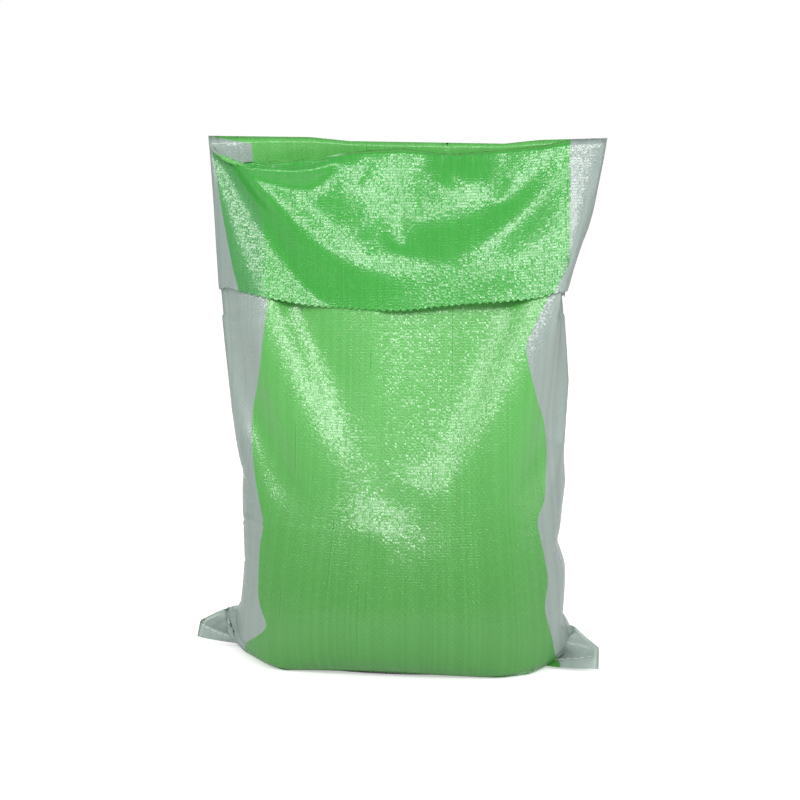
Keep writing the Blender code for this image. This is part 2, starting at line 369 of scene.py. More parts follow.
def follow_outlines(points, grid):
    """Draw the folds and the ears towards the places that the photograph gives them."""
    columns = np.arange(grid.columns)
    in_front = (columns > 0) & (columns <= grid.half)
    x = points[grid.ridge, :, 0]
    height = np.where(in_front, read_off(FRONT_RIDGE, x), read_off(BACK_RIDGE, x))
    gape = read_off(MOUTH_GAPE, x) * np.where(in_front, -1, 1)
    gape[[0, grid.half]] = 0
    points[grid.ridge, :, 2] += (height - points[grid.ridge, :, 2]) * HOLD_RIDGE
    points[grid.ridge, :, 1] += (gape - points[grid.ridge, :, 1]) * HOLD_RIDGE
    rows = slice(grid.hem, grid.rows)
    for column, table in ((0, LEFT_SIDE), (grid.half, RIGHT_SIDE)):
        z = points[rows, column, 2]
        held = (z > SIDES_ABOVE) * HOLD_SIDES
        points[rows, column, 0] += (read_off(table, z) - points[rows, column, 0]) * held
    body = points[: grid.ridge + 1]
    x, z = body[..., 0], body[..., 2]
    least = np.where(z > LEFT_EAR_ROOT, read_off(LEFT_SIDE, z), -1)
    most = np.where(z > RIGHT_EAR_ROOT, read_off(RIGHT_SIDE, z), 1)
    x += (np.clip(x, least, most) - x) * HOLD_SIDES
    flatten_facet(points[: grid.ridge, 1:grid.half])
    for column, ear in ((0, LEFT_EAR), (grid.half, RIGHT_EAR)):
        rows = np.arange(round((HEM + EAR_FOLD) / grid.up) + 1)
        held = np.stack([read_off(list(zip((0, HEM, HEM + EAR_FOLD), ear[:, axis])), rows * grid.up)
                         for axis in range(3)], -1)
        points[rows, column] += (held - points[rows, column]) * HOLD_EARS


def flatten_facet(front):
    """Ease the front's cloth back to the plane of the pointed facet, where it stands out of it."""
    x, y, z = front[..., 0], front[..., 1], front[..., 2]
    half_width = np.maximum(z - FACET_TIP[2], 0) * FACET_SPREAD
    inside = np.clip((half_width - np.abs(x - FACET_TIP[0])) / FACET_EASE, 0, 1)
    slope = (FACET_TIP[1] - FACET_TOP[1]) / (FACET_TOP[2] - FACET_TIP[2])
    plane = FACET_TOP[1] + (FACET_TOP[2] - z) * slope
    y += np.maximum(plane - y, 0) * inside * HOLD_FACET


# %% [markdown]
# ## Settling
#
# The granules push outwards, more the deeper they lie under their own surface, as water does.
# Granules also push harder sideways than they lift, so the push is a little stronger to the
# left and right. One step adds the push to the speed, moves the points, applies the rules
# above many times, and takes the new speed from how far each point came. Speed dies away and
# the floor rubs, so the sack comes to rest.

# %% Settle
FILL_TOP = 0.20
SIDEWAYS = 2.6
WEIGHT = 0.00001
SLOWING = 0.9
RUB = 0.6
TOP_SPEED = 0.003
HOLLOW = (0.006, 0.026)


def push_of_fill(points, grid, out, area):
    """How hard the granules push each point of the body. Where front and back touch there are none."""
    front = np.arange(1, grid.half)
    back = grid.columns - front
    apart = np.zeros(out.shape[:2])
    apart[:, front] = points[: grid.ridge + 1, back, 1] - points[: grid.ridge + 1, front, 1]
    apart[:, back] = apart[:, front]
    inside = np.clip((apart - HOLLOW[0]) / (HOLLOW[1] - HOLLOW[0]), 0, 1)
    depth = np.clip(1 - points[: grid.ridge + 1, :, 2] / FILL_TOP, 0, 1)
    push = (depth * inside)[..., None] * out * np.minimum(area, 1.5)
    push[..., 0] *= SIDEWAYS
    return push


def settle(points, grid, steps, passes, pressure, stiffness):
    """Let the sack come to rest."""
    speed = np.zeros_like(points)
    for step in range(steps):
        out = outward(points)[: grid.ridge + 1]
        size = np.sqrt((out * out).sum(-1, keepdims=True)) + TINY
        out /= size
        speed[: grid.ridge + 1] += pressure * push_of_fill(points, grid, out, size / (grid.across * grid.up))
        speed[..., 2] -= WEIGHT
        before = points.copy()
        points += speed
        for turn in range(passes):
            pull_threads(points, grid)
            if turn == passes - 1:
                stay_springy(points, grid, stiffness)
            stay_apart(points, grid, out)
        follow_outlines(points, grid)
        speed = (points - before) * SLOWING
        speed[points[..., 2] < 2 * FLOOR] *= RUB
        fast = np.sqrt((speed * speed).sum(-1, keepdims=True)) + TINY
        speed *= np.minimum(1, TOP_SPEED / fast)
    return points


# %% [markdown]
# ## The last few millimetres
#
# The rules above only draw the cloth towards its outlines. When it has settled, the folds are
# moved the rest of the way, and the cloth between them goes along: sideways in a straight
# share from fold to fold, upwards more and more towards the mouth, and at each ear within a
# small patch. Woven cloth gives that much by skewing.

# %% Bring the folds home
RISE_FROM = 0.35
SIDES_FROM = (0.055, 0.085)
EAR_PATCH = 0.07
UNDER_CUFF = 0.0018


def ease(value, low, high):
    """0 below a range, 1 above it, and a soft curve in it."""
    share = np.clip((value - low) / (high - low), 0, 1)
    return share * share * (3 - 2 * share)


def bring_home(points, grid):
    """Move the side folds, the mouth's fold and the ears to where they are seen."""
    columns = np.arange(grid.columns)
    share = np.minimum(columns, grid.columns - columns) / grid.half
    rows = np.arange(grid.rows)
    hidden = ((rows < grid.ridge) & (rows > 2 * grid.ridge - grid.rows)) * UNDER_CUFF
    shift = []
    for column, table, inward in ((0, LEFT_SIDE, 1), (grid.half, RIGHT_SIDE, -1)):
        z = points[:, column, 2]
        shift.append((read_off(table, z) + inward * hidden - points[:, column, 0]) * ease(z, *SIDES_FROM))
    points[..., 0] += shift[0][:, None] * (1 - share) + shift[1][:, None] * share
    in_front = (columns > 0) & (columns <= grid.half)
    x = points[grid.ridge, :, 0]
    wanted = np.where(in_front, read_off(FRONT_RIDGE, x), read_off(BACK_RIDGE, x))
    lift = wanted - points[grid.ridge, :, 2]
    points[..., 2] += lift * ease(np.minimum(rows * grid.up, BODY), RISE_FROM, BODY)[:, None]
    last = round((HEM + EAR_FOLD) / grid.up)
    rows = rows[: last + 1]
    fade = 1 - ease(rows * grid.up, HEM, HEM + EAR_FOLD)
    for column, ear in ((0, LEFT_EAR), (grid.half, RIGHT_EAR)):
        held = np.stack([read_off(list(zip((0, HEM, HEM + EAR_FOLD), ear[:, axis])), rows * grid.up)
                         for axis in range(3)], -1)
        move = (held - points[rows, column]) * fade[:, None]
        away = np.abs((columns - column + grid.half) % grid.columns - grid.half) * grid.across
        points[: last + 1] += move[:, None] * (1 - ease(away, 0, EAR_PATCH))[None, :, None]


# %% [markdown]
# ## Swellings
#
# The cuff doesn't lie flat over the shoulder of the sack. It swells out by a few millimetres
# between its fold and its cut edge, which is why the light catches its upper part and leaves
# the part below the swelling dark. The belly has a few lower swellings, where the granules
# press on. Each has a place as it is seen, how far it reaches across and up, and how far it
# stands out.

# %% Swell the front
CUFF_SWELLS = [(0.068, 0.480, 0.042, 0.036, 0.0095), (-0.045, 0.470, 0.050, 0.034, 0.0035)]
BELLY_SWELLS = [(-0.030, 0.148, 0.018, 0.018, 0.0030), (0.029, 0.195, 0.020, 0.018, 0.0025),
                (-0.152, 0.239, 0.014, 0.020, 0.0030)]
FOLD_KEPT = 0.02


def swell(points, grid, rows, swells):
    """Push the front of some rows gently out, most at the middle of each swelling."""
    front = np.s_[rows, 1:grid.half]
    seen = as_seen(points[front])
    from_fold = np.abs(np.arange(grid.rows)[rows] - grid.ridge)[:, None] * grid.up
    for x, z, wide, high, rise in swells:
        away = ((seen[..., 0] - x) / wide)**2 + ((seen[..., 1] - z) / high)**2
        points[front][..., 1] -= rise * np.exp(-away / 2) * ease(from_fold, 0, FOLD_KEPT)


# %% [markdown]
# ## The cut edge of the cuff
#
# The cuff was left a little long. It is now cut where the photograph shows its edge, which
# hangs lower in the middle. Each column of points is read again along its shorter length, so
# the weave keeps its size and the edge really is a cut and not a stretch.

# %% Cut the cuff
CUT_EDGE = [(-0.201, 0.419), (-0.193, 0.419), (-0.173, 0.414), (-0.146, 0.407), (-0.095, 0.399), (-0.043, 0.396),
            (0.002, 0.394), (0.037, 0.399), (0.073, 0.403), (0.108, 0.405), (0.153, 0.410), (0.177, 0.418)]
BACK_CUFF = 0.174
EVEN_OUT = 4


def even(values, times, closed=True):
    """A row of values with its small unevenness eased out."""
    for _ in range(times):
        padded = np.concatenate([values[-1:], values, values[:1]] if closed else [values[:1], values, values[-1:]])
        values = (padded[:-2] + 2 * values + padded[2:]) / 4
    return values


def cut_cuff(points, grid):
    """Cut the cuff to its seen edge. Returns how long it is at each column."""
    cuff = points[grid.ridge:]
    seen = as_seen(cuff)
    above = seen[..., 1] - read_off(CUT_EDGE, seen[..., 0])
    length = np.full(grid.columns, BACK_CUFF)
    for column in range(grid.half + 1):
        under = np.nonzero(above[:, column] < 0)[0]
        row = under[0] if len(under) else len(cuff) - 1
        part = above[row - 1, column] / (above[row - 1, column] - above[row, column]) if len(under) else 1
        length[column] = (row - 1 + part) * grid.up
    length = even(np.minimum(length, CUFF), EVEN_OUT * 3)
    at = np.linspace(0, 1, len(cuff))[:, None] * length / grid.up
    first = np.minimum(at.astype(int), len(cuff) - 2)
    part = (at - first)[..., None]
    column = np.arange(grid.columns)[None]
    points[grid.ridge:] = cuff[first, column] * (1 - part) + cuff[first + 1, column] * part
    return length


# %% [markdown]
# ## From coarse to fine
#
# Big shapes settle fast on a coarse grid and slowly on a fine one. So the sack settles at
# 15 mm first, then each coarser result is brought to a finer grid along smooth curves, and
# only the smaller wrinkles are left for it to find.

# %% Refine
def smooth_read(points, at, closed):
    """Rows of points read at places between them, along a smooth curve."""
    first = np.floor(at).astype(int)
    part = (at - first).reshape(-1, 1, 1)

    def row(step):
        place = (first + step) % len(points) if closed else np.clip(first + step, 0, len(points) - 1)
        return points[place]

    a, b, c, d = row(-1), row(0), row(1), row(2)
    return 0.5 * (2 * b + (c - a) * part + (2 * a - 5 * b + 4 * c - d) * part**2
                  + (3 * b - a - 3 * c + d) * part**3)


def refine(points, old, new):
    """The same cloth on a finer grid."""
    body = np.linspace(0, old.ridge, new.ridge + 1)
    cuff = old.ridge + np.arange(1, new.rows - new.ridge) * (old.ridge / new.ridge)
    rows = np.minimum(np.concatenate([body, cuff]), old.rows - 1)
    points = smooth_read(points, rows, False)
    columns = np.arange(new.columns) * old.columns / new.columns
    return np.ascontiguousarray(smooth_read(points.transpose(1, 0, 2), columns, True).transpose(1, 0, 2))


# %% [markdown]
# ## Run the simulation
#
# A coarse cloth settles quickly, and a fine one keeps the small folds. So the sack settles on
# a coarse grid first, and each finer grid starts from the shape before it. Then the folds are
# brought home, the swellings added and the cuff cut.

# %% Settle the sack
LEVELS = [(0.015, 200, 6, 0.0006, 0.006), (0.0075, 160, 8, 0.0003, 0.006), (0.00375, 80, 10, 0.00015, 0.006)]

sack = None
for step_size, steps, passes, pressure, stiffness in LEVELS:
    finer = cut(step_size)
    sack = first_guess(finer) if sack is None else refine(sack, grid, finer)
    grid = finer
    sack = settle(sack, grid, steps, passes, pressure, stiffness)
bring_home(sack, grid)
swell(sack, grid, slice(grid.ridge, grid.rows), CUFF_SWELLS)
swell(sack, grid, slice(0, grid.ridge), BELLY_SWELLS)
cuff_length = cut_cuff(sack, grid)
print("settled:", grid, "front", round(sack[..., 1].min(), 3), "back", round(sack[..., 1].max(), 3))
print("cuff from", round(cuff_length.min() * 1000), "to", round(cuff_length.max() * 1000), "mm long")

# %% [markdown]
# ## Masks worked out from the shape
#
# The stripes, the doubled cloth of the cuff, and painted light and shade on the belly all change
# the colour. Each is worked out as a number for every point and stored in the mesh, where
# the material reads it by name. A stripe's edge is stored as a distance and not as yes or no,
# so that the material can draw it sharp between two points.
#
# The edges of the stripes are known as lines that are seen. For each row of the cloth this
# finds how far from the side fold the cloth crosses such a line, first in front and then
# behind, where the stripe is taken to lie behind itself as seen.

# %% Where the stripes run
LEFT_EDGE = [(-0.010, -0.178), (0.012, -0.176), (0.022, -0.160), (0.032, -0.149), (0.049, -0.157), (0.067, -0.161),
             (0.098, -0.160), (0.128, -0.158), (0.151, -0.153), (0.162, -0.155), (0.202, -0.162), (0.237, -0.165),
             (0.265, -0.165), (0.293, -0.162), (0.316, -0.157), (0.355, -0.152), (0.405, -0.145), (0.449, -0.144),
             (0.490, -0.145), (0.520, -0.161), (0.551, -0.181), (0.580, -0.200)]
RIGHT_EDGE = [(-0.005, 0.184), (0.010, 0.175), (0.027, 0.173), (0.062, 0.163), (0.096, 0.167), (0.119, 0.163),
              (0.142, 0.158), (0.164, 0.153), (0.187, 0.162), (0.243, 0.163), (0.276, 0.160), (0.298, 0.152),
              (0.337, 0.142), (0.359, 0.138), (0.410, 0.162), (0.462, 0.180), (0.580, 0.183)]
LEFT_EDGE_CUFF = [(0.405, -0.176), (0.419, -0.178), (0.435, -0.183), (0.503, -0.195), (0.560, -0.203), (0.585, -0.209)]
RIGHT_EDGE_CUFF = [(0.408, 0.164), (0.418, 0.170), (0.442, 0.182), (0.448, 0.185), (0.580, 0.183)]
LEFT_EDGE_BACK = LEFT_EDGE[:-4] + [(0.490, -0.148), (0.540, -0.157), (0.585, -0.162)]


def crossing(points, grid, table, side, behind):
    """How far from a side fold each row crosses a seen line, in metres of flat cloth."""
    reach = np.arange(grid.half)
    order = {("left", False): reach, ("left", True): -reach,
             ("right", False): grid.half - reach, ("right", True): grid.half + reach}[side, behind]
    seen = as_seen(points[:, order])
    inside = seen[..., 0] - read_off(table, seen[..., 1])
    inside = inside if side == "left" else -inside
    first = np.maximum(np.argmax(inside > 0, 1), 1)
    rows = np.arange(len(points))
    before, after = inside[rows, first - 1], inside[rows, first]
    part = np.clip(before / (before - after + TINY), 0, 1)
    return even((first - 1 + part) * grid.across, EVEN_OUT, closed=False)


EDGES = {}
body, cuff = slice(0, grid.ridge), slice(grid.ridge, grid.rows)
for side, behind, body_table, cuff_table in (("left", False, LEFT_EDGE, LEFT_EDGE_CUFF),
                                             ("left", True, LEFT_EDGE_BACK, LEFT_EDGE_CUFF),
                                             ("right", False, RIGHT_EDGE, RIGHT_EDGE_CUFF),
                                             ("right", True, RIGHT_EDGE, RIGHT_EDGE_CUFF)):
    EDGES[side, behind] = np.concatenate([crossing(sack[body], grid, body_table, side, behind),
                                          crossing(sack[cuff], grid, cuff_table, side, behind)])
    print(side, "back" if behind else "front", "stripe", [round(e * 1000) for e in EDGES[side, behind][::38]], "mm")


def into_green(row, column):
    """How far places lie inside the green, in metres of flat cloth. It is negative in a stripe."""
    at = np.asarray(column) * grid.across
    behind = at > ROUND / 2
    rows = np.arange(grid.rows)
    from_left = np.where(behind, ROUND - at, at)
    edge = {name: np.interp(row, rows, values) for name, values in EDGES.items()}
    left = from_left - np.where(behind, edge["left", True], edge["left", False])
    right = ROUND / 2 - from_left - np.where(behind, edge["right", True], edge["right", False])
    return np.minimum(left, right)


row, column = np.meshgrid(np.arange(grid.rows), np.arange(grid.columns), indexing="ij")
green = into_green(row, column)
down = np.linspace(0, 1, grid.rows - grid.ridge)[:, None] * cuff_length / grid.up
green_under = np.full_like(green, ROUND)
green_under[grid.ridge:] = into_green(grid.ridge - down, column[grid.ridge:])
print("green share of the cloth:", round(float((green > 0).mean()), 3))

# %% How sharply the cloth is bent
normal = outward(sack)
normal /= np.sqrt((normal * normal).sum(-1, keepdims=True)) + TINY


def sharpness(points, normal, grid):
    """How sharply the cloth bends at each point, per metre. A ridge is positive, a valley negative."""
    bend = (np.roll(points, 1, 1) + np.roll(points, -1, 1) - 2 * points) / grid.across**2
    bend[1:-1] += (points[2:] + points[:-2] - 2 * points[1:-1]) / grid.up**2
    return -(bend * normal).sum(-1)


bend = sharpness(sack, normal, grid)
print("bend from", round(float(np.percentile(bend, 2))), "to", round(float(np.percentile(bend, 98))), "per metre")

# %% [markdown]
# ## The sleeve's mesh
#
# The grid becomes one mesh with a face between every four points. The flat place of each
# point goes into a UV map measured in metres, so the weave in the material has its real size.
# The cut end of the cuff is a zigzag, as a heated or toothed knife leaves it, and the small
# teeth are part of the shape.

# %% Build the sleeve
TOOTH = 0.0024
# Painted light: between these heights, where the sack is empty, the green is painted lighter for light that comes
# through from behind.
THROUGH_LIGHT_HEIGHTS = (0.04, 0.32)
# Painted shade: a round patch low on the middle of the belly, where the painted light is held back.
PAINTED_SHADE_AT = (0.0, 0.08)
PAINTED_SHADE_REACH = 0.075
CLOTH_MAP = "cloth"


def grid_mesh(name, points, flat):
    """A closed tube of faces, with a UV map of the flat cloth in metres."""
    rows, columns = points.shape[:2]
    mesh = bpy.data.meshes.new(name)
    r, c = np.meshgrid(np.arange(rows - 1), np.arange(columns), indexing="ij")
    beside = (c + 1) % columns
    faces = np.stack([r * columns + c, r * columns + beside, (r + 1) * columns + beside, (r + 1) * columns + c], -1)
    mesh.from_pydata(points.reshape(-1, 3).tolist(), [], faces.reshape(-1, 4).tolist())
    corner = flat.reshape(-1, 2)[faces.reshape(-1)].reshape(-1, 4, 2)
    last = (c == columns - 1).reshape(-1)
    corner[last, 1:3, 0] = ROUND
    layer = mesh.uv_layers.new(name=CLOTH_MAP)
    layer.data.foreach_set("uv", corner.reshape(-1).astype(np.float32))
    mesh.shade_smooth()
    item = bpy.data.objects.new(name, mesh)
    bpy.context.scene.collection.objects.link(item)
    return item


def store(mesh, name, values):
    """Keep one number for each point under a name that a material can read."""
    mesh.attributes.new(name, "FLOAT", "POINT").data.foreach_set("value", values.reshape(-1).astype(np.float32))


u, v = column * grid.across, row * grid.up
v[grid.ridge:] = BODY + down * grid.up
tooth = 0.5 * TOOTH / grid.up * (1 - 2 * (np.arange(grid.columns) % 2))[:, None]
sack += np.array(MIDDLE)
sack[-1] += (sack[-1] - sack[-2]) * tooth
v[-1] += tooth[:, 0] * grid.up
sleeve = grid_mesh("sleeve", sack, np.stack([u, v], -1))
store(sleeve.data, "green", green)
store(sleeve.data, "green under", green_under)
store(sleeve.data, "doubled", (row > grid.ridge).astype(float))
store(sleeve.data, "bend", bend)
# Stored as "empty": painted light above the granules, less in a round patch of painted shade low on the belly's middle.
off = np.hypot(sack[..., 0] - PAINTED_SHADE_AT[0], sack[..., 2] - PAINTED_SHADE_AT[1]) / PAINTED_SHADE_REACH
store(sleeve.data, "empty", ease(sack[..., 2], *THROUGH_LIGHT_HEIGHTS) * (1 - 0.6 * np.exp(-off**2)))
print("sleeve:", len(sleeve.data.polygons), "faces,", [round(d, 3) for d in sleeve.dimensions])

# %% [markdown]
# ## The thread of the bottom seam
#
# The bottom hem is closed by one row of white stitches, which shows on the two ears. On each
# face of the cloth the thread comes up, runs on for most of a stitch and dips back in. The
# line is read off the settled cloth, so the thread lies on it wherever the hem went.

# %% Sew the hem
THREAD = 0.0005
STITCH_LINE = 0.012
STITCH_LENGTH = 0.008
STITCH_SHOWN = 0.8
STITCH_POINTS = 7
THREAD_SIDES = 6


def seam_line(columns):
    """How far along the stitching line its places lie, the places, and the way out of the cloth there."""
    row = STITCH_LINE / grid.up
    low, part = int(row), row % 1
    place = sack[low, columns] * (1 - part) + sack[low + 1, columns] * part
    out = normal[low, columns] * (1 - part) + normal[low + 1, columns] * part
    along = np.concatenate([[0], np.cumsum(np.linalg.norm(np.diff(place, axis=0), axis=1))])
    return along, place + out * THREAD, out


def thread_rings(line, out):
    """Rings of points round a short line."""
    ahead = np.gradient(line, axis=0)
    beside = np.cross(ahead, out)
    beside /= np.linalg.norm(beside, axis=1, keepdims=True) + TINY
    turn = np.arange(THREAD_SIDES)[None, :, None] * 2 * math.pi / THREAD_SIDES
    return line[:, None] + THREAD * (np.cos(turn) * beside[:, None] + np.sin(turn) * out[:, None])


def sew():
    """All the stitches of both faces as points and faces of one mesh."""
    points, faces = [], []
    for columns in (np.arange(1, grid.half), np.arange(grid.half + 1, grid.columns)):
        along, place, out = seam_line(columns)
        for start in np.arange(0, along[-1] - STITCH_LENGTH, STITCH_LENGTH):
            at = start + np.linspace(0, STITCH_SHOWN * STITCH_LENGTH, STITCH_POINTS)
            line, way = [np.stack([np.interp(at, along, values[:, axis]) for axis in range(3)], -1)
                         for values in (place, out)]
            line += way * THREAD * np.sin(np.linspace(0, math.pi, STITCH_POINTS))[:, None]
            line[:, 2] = np.maximum(line[:, 2], 2 * THREAD)
            first = len(points)
            points.extend(thread_rings(line, way).reshape(-1, 3).tolist())
            for ring in range(STITCH_POINTS - 1):
                for side in range(THREAD_SIDES):
                    a, b = (first + ring * THREAD_SIDES + s % THREAD_SIDES for s in (side, side + 1))
                    faces.append((a, b, b + THREAD_SIDES, a + THREAD_SIDES))
            faces.append([first + side for side in reversed(range(THREAD_SIDES))])
            faces.append([len(points) - THREAD_SIDES + side for side in range(THREAD_SIDES)])
    return points, faces


thread_points, thread_faces = sew()
thread_mesh = bpy.data.meshes.new("bottom stitches")
thread_mesh.from_pydata(thread_points, [], thread_faces)
thread_mesh.shade_smooth()
stitches = bpy.data.objects.new("bottom_stitches", thread_mesh)
bpy.context.scene.collection.objects.link(stitches)
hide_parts("bottom_stitch")
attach(stitches, "root")
print("stitches:", len(thread_faces), "faces")

# %% [markdown]
# ## The granules
#
# The sack is filled to a little under half its height. The heap has the inside shape of the
# cloth, so its sides are read off the settled cloth itself, level by level, a little further
# in. Its top is a low mound with the small hollows that poured granules have.

# %% Shape the fill
FILL_EDGE = 0.243
FILL_CROWN = 0.016
FILL_INSET = 0.0025
FILL_FOOT = 0.034
FILL_LEVELS = 24
FILL_AROUND = 160
MOUND_RINGS = 26
FLOOR_CLOTH = 0.0016


def level_section(points, grid, height, count):
    """Points evenly spaced round the body at one height, from the left side through the front."""
    ring = []
    for column in range(grid.columns):
        z = points[: grid.ridge + 1, column, 2]
        crossing = np.nonzero((z[:-1] < height) & (z[1:] >= height))[0][-1]
        part = (height - z[crossing]) / (z[crossing + 1] - z[crossing])
        ring.append(points[crossing, column] + (points[crossing + 1, column] - points[crossing, column]) * part)
    ring = np.array(ring)
    closed = np.vstack([ring, ring[:1]])
    along = np.concatenate([[0], np.cumsum(np.hypot(*np.diff(closed[:, :2], axis=0).T))])
    at = np.arange(count) / count * along[-1]
    return np.stack([np.interp(at, along, closed[:, axis]) for axis in range(3)], -1)


def shrink(ring, inset):
    """A ring moved inwards by a fixed distance."""
    across = np.roll(ring, -1, 0) - np.roll(ring, 1, 0)
    inward = np.stack([-across[:, 1], across[:, 0], np.zeros(len(ring))], -1)
    return ring + inward / (np.linalg.norm(inward, axis=1, keepdims=True) + TINY) * inset


def lumps(x, y, size, seed):
    """Soft random unevenness: a few waves in directions that a seed picks."""
    chance = np.random.default_rng(seed)
    total = np.zeros_like(x)
    for _ in range(9):
        turn, phase, step = chance.uniform(0, math.pi), chance.uniform(0, 2 * math.pi), size * chance.uniform(0.6, 1.7)
        total += np.sin((x * math.cos(turn) + y * math.sin(turn)) * 2 * math.pi / step + phase)
    return total / 9


def smooth_round(ring, times):
    """A ring with its small wrinkles eased out."""
    for _ in range(times):
        ring = (np.roll(ring, 1, 0) + 2 * ring + np.roll(ring, -1, 0)) / 4
    return ring


levels = np.linspace(FILL_FOOT, FILL_EDGE, FILL_LEVELS)
rings = [smooth_round(shrink(level_section(sack, grid, z, FILL_AROUND), FILL_INSET), 3) for z in levels]
print("fill: widest ring", round(float(max(r[:, 0].max() - r[:, 0].min() for r in rings)), 3))

# %% Build the fill
lowest = rings[0]
middle = lowest.mean(0)
for share, height in ((0.93, 0.020), (0.86, 0.009), (0.78, FLOOR_CLOTH)):
    foot = middle + (lowest - middle) * share
    foot[:, 2] = height
    rings.insert(0, foot)
rim = rings[-1]
centre = rim.mean(0)
for step in range(1, MOUND_RINGS):
    share = 1 - step / MOUND_RINGS
    ring = centre + (rim - centre) * share
    ring[:, 2] = FILL_EDGE + FILL_CROWN * (1 - share**2) + 0.004 * lumps(ring[:, 0], ring[:, 1], 0.05, 3) * (1 - share)
    rings.append(ring)
points = np.concatenate(rings + [centre[None] + (0, 0, FILL_CROWN), [[centre[0], centre[1], FLOOR_CLOTH]]])
faces = []
for r in range(len(rings) - 1):
    for c in range(FILL_AROUND):
        a, b = r * FILL_AROUND + c, r * FILL_AROUND + (c + 1) % FILL_AROUND
        faces.append((a, b, b + FILL_AROUND, a + FILL_AROUND))
last = (len(rings) - 1) * FILL_AROUND
for c in range(FILL_AROUND):
    faces.append((last + c, last + (c + 1) % FILL_AROUND, len(points) - 2))
    faces.append(((c + 1) % FILL_AROUND, c, len(points) - 1))
fill_mesh = bpy.data.meshes.new("granules")
fill_mesh.from_pydata(points.tolist(), [], faces)
fill_mesh.shade_smooth()
granules = bpy.data.objects.new("granules", fill_mesh)
bpy.context.scene.collection.objects.link(granules)
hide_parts("bulk_fill")
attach(granules, "root")
print("granules:", len(faces), "faces,", round(float(points[:, 2].max()), 3), "m high")

# %% [markdown]
# ## Helpers for materials
#
# A shader is a graph. Two small helpers keep it readable: one adds a node and sets it, and one
# does a sum on sockets or plain numbers.

# %% Node helpers
def add(tree, kind, **settings):
    """A new node with its settings."""
    made = tree.nodes.new("ShaderNode" + kind)
    for name, value in settings.items():
        setattr(made, name, value)
    return made


def plug(tree, value, socket):
    """Join a socket to another, or give it a plain value."""
    if isinstance(value, bpy.types.NodeSocket):
        tree.links.new(value, socket)
    else:
        socket.default_value = value


def work_out(tree, operation, *values):
    """The result of one sum, such as MULTIPLY or FLOOR."""
    made = add(tree, "Math", operation=operation)
    for value, socket in zip(values, made.inputs):
        plug(tree, value, socket)
    return made.outputs[0]


def ramp(tree, value, low, high, start=0.0, end=1.0):
    """A value brought from one range to another and kept inside it, with soft ends."""
    made = add(tree, "MapRange", interpolation_type="SMOOTHSTEP")
    for given, socket in zip((value, low, high, start, end), made.inputs):
        plug(tree, given, socket)
    return made.outputs[0]


def mix(tree, share, first, second, blend="MIX"):
    """A colour between two."""
    made = add(tree, "Mix", data_type="RGBA", blend_type=blend)
    for given, socket in ((share, made.inputs[0]), (first, made.inputs[6]), (second, made.inputs[7])):
        plug(tree, given, socket)
    return made.outputs[2]


def colour(red, green, blue):
    """A colour given as it looks on a screen, 0 to 255, brought to the light values that a shader works in."""
    def light(part):
        part /= 255
        return part / 12.92 if part <= 0.04045 else ((part + 0.055) / 1.055) ** 2.4
    return (light(red), light(green), light(blue), 1.0)


def new_group(name, inputs, outputs):
    """An empty node group with named sockets. Returns it with its input and output nodes."""
    tree = bpy.data.node_groups.new(name, "ShaderNodeTree")
    for label, kind, default in inputs:
        socket = tree.interface.new_socket(label, in_out="INPUT", socket_type=kind)
        if default is not None:
            socket.default_value = default
    for label, kind in outputs:
        tree.interface.new_socket(label, in_out="OUTPUT", socket_type=kind)
    return tree, tree.nodes.new("NodeGroupInput"), tree.nodes.new("NodeGroupOutput")


def use_group(tree, group, **values):
    """Place a group in a material, with its own values."""
    made = tree.nodes.new("ShaderNodeGroup")
    made.node_tree = group
    for name, value in values.items():
        plug(tree, value, made.inputs[name.replace("_", " ")])
    return made


# %% [markdown]
# ## The weave
#
# The cloth is a plain weave of flat tapes, about 2.7 mm wide up the sack and 3.1 mm around
# it. In every other crossing the upright tape lies on top, like the squares of a chessboard.
# The group works out which tape is on top, how high the surface is, and a number of its own
# for each upright tape. It also leans the face of each crossing a little its own way: the film
# is glossy, so each crossing glints by itself, and the sheen is a cloud of bright grains.

# %% Weave group
UPRIGHT_TAPE = 0.00265
ROUND_TAPE = 0.0031


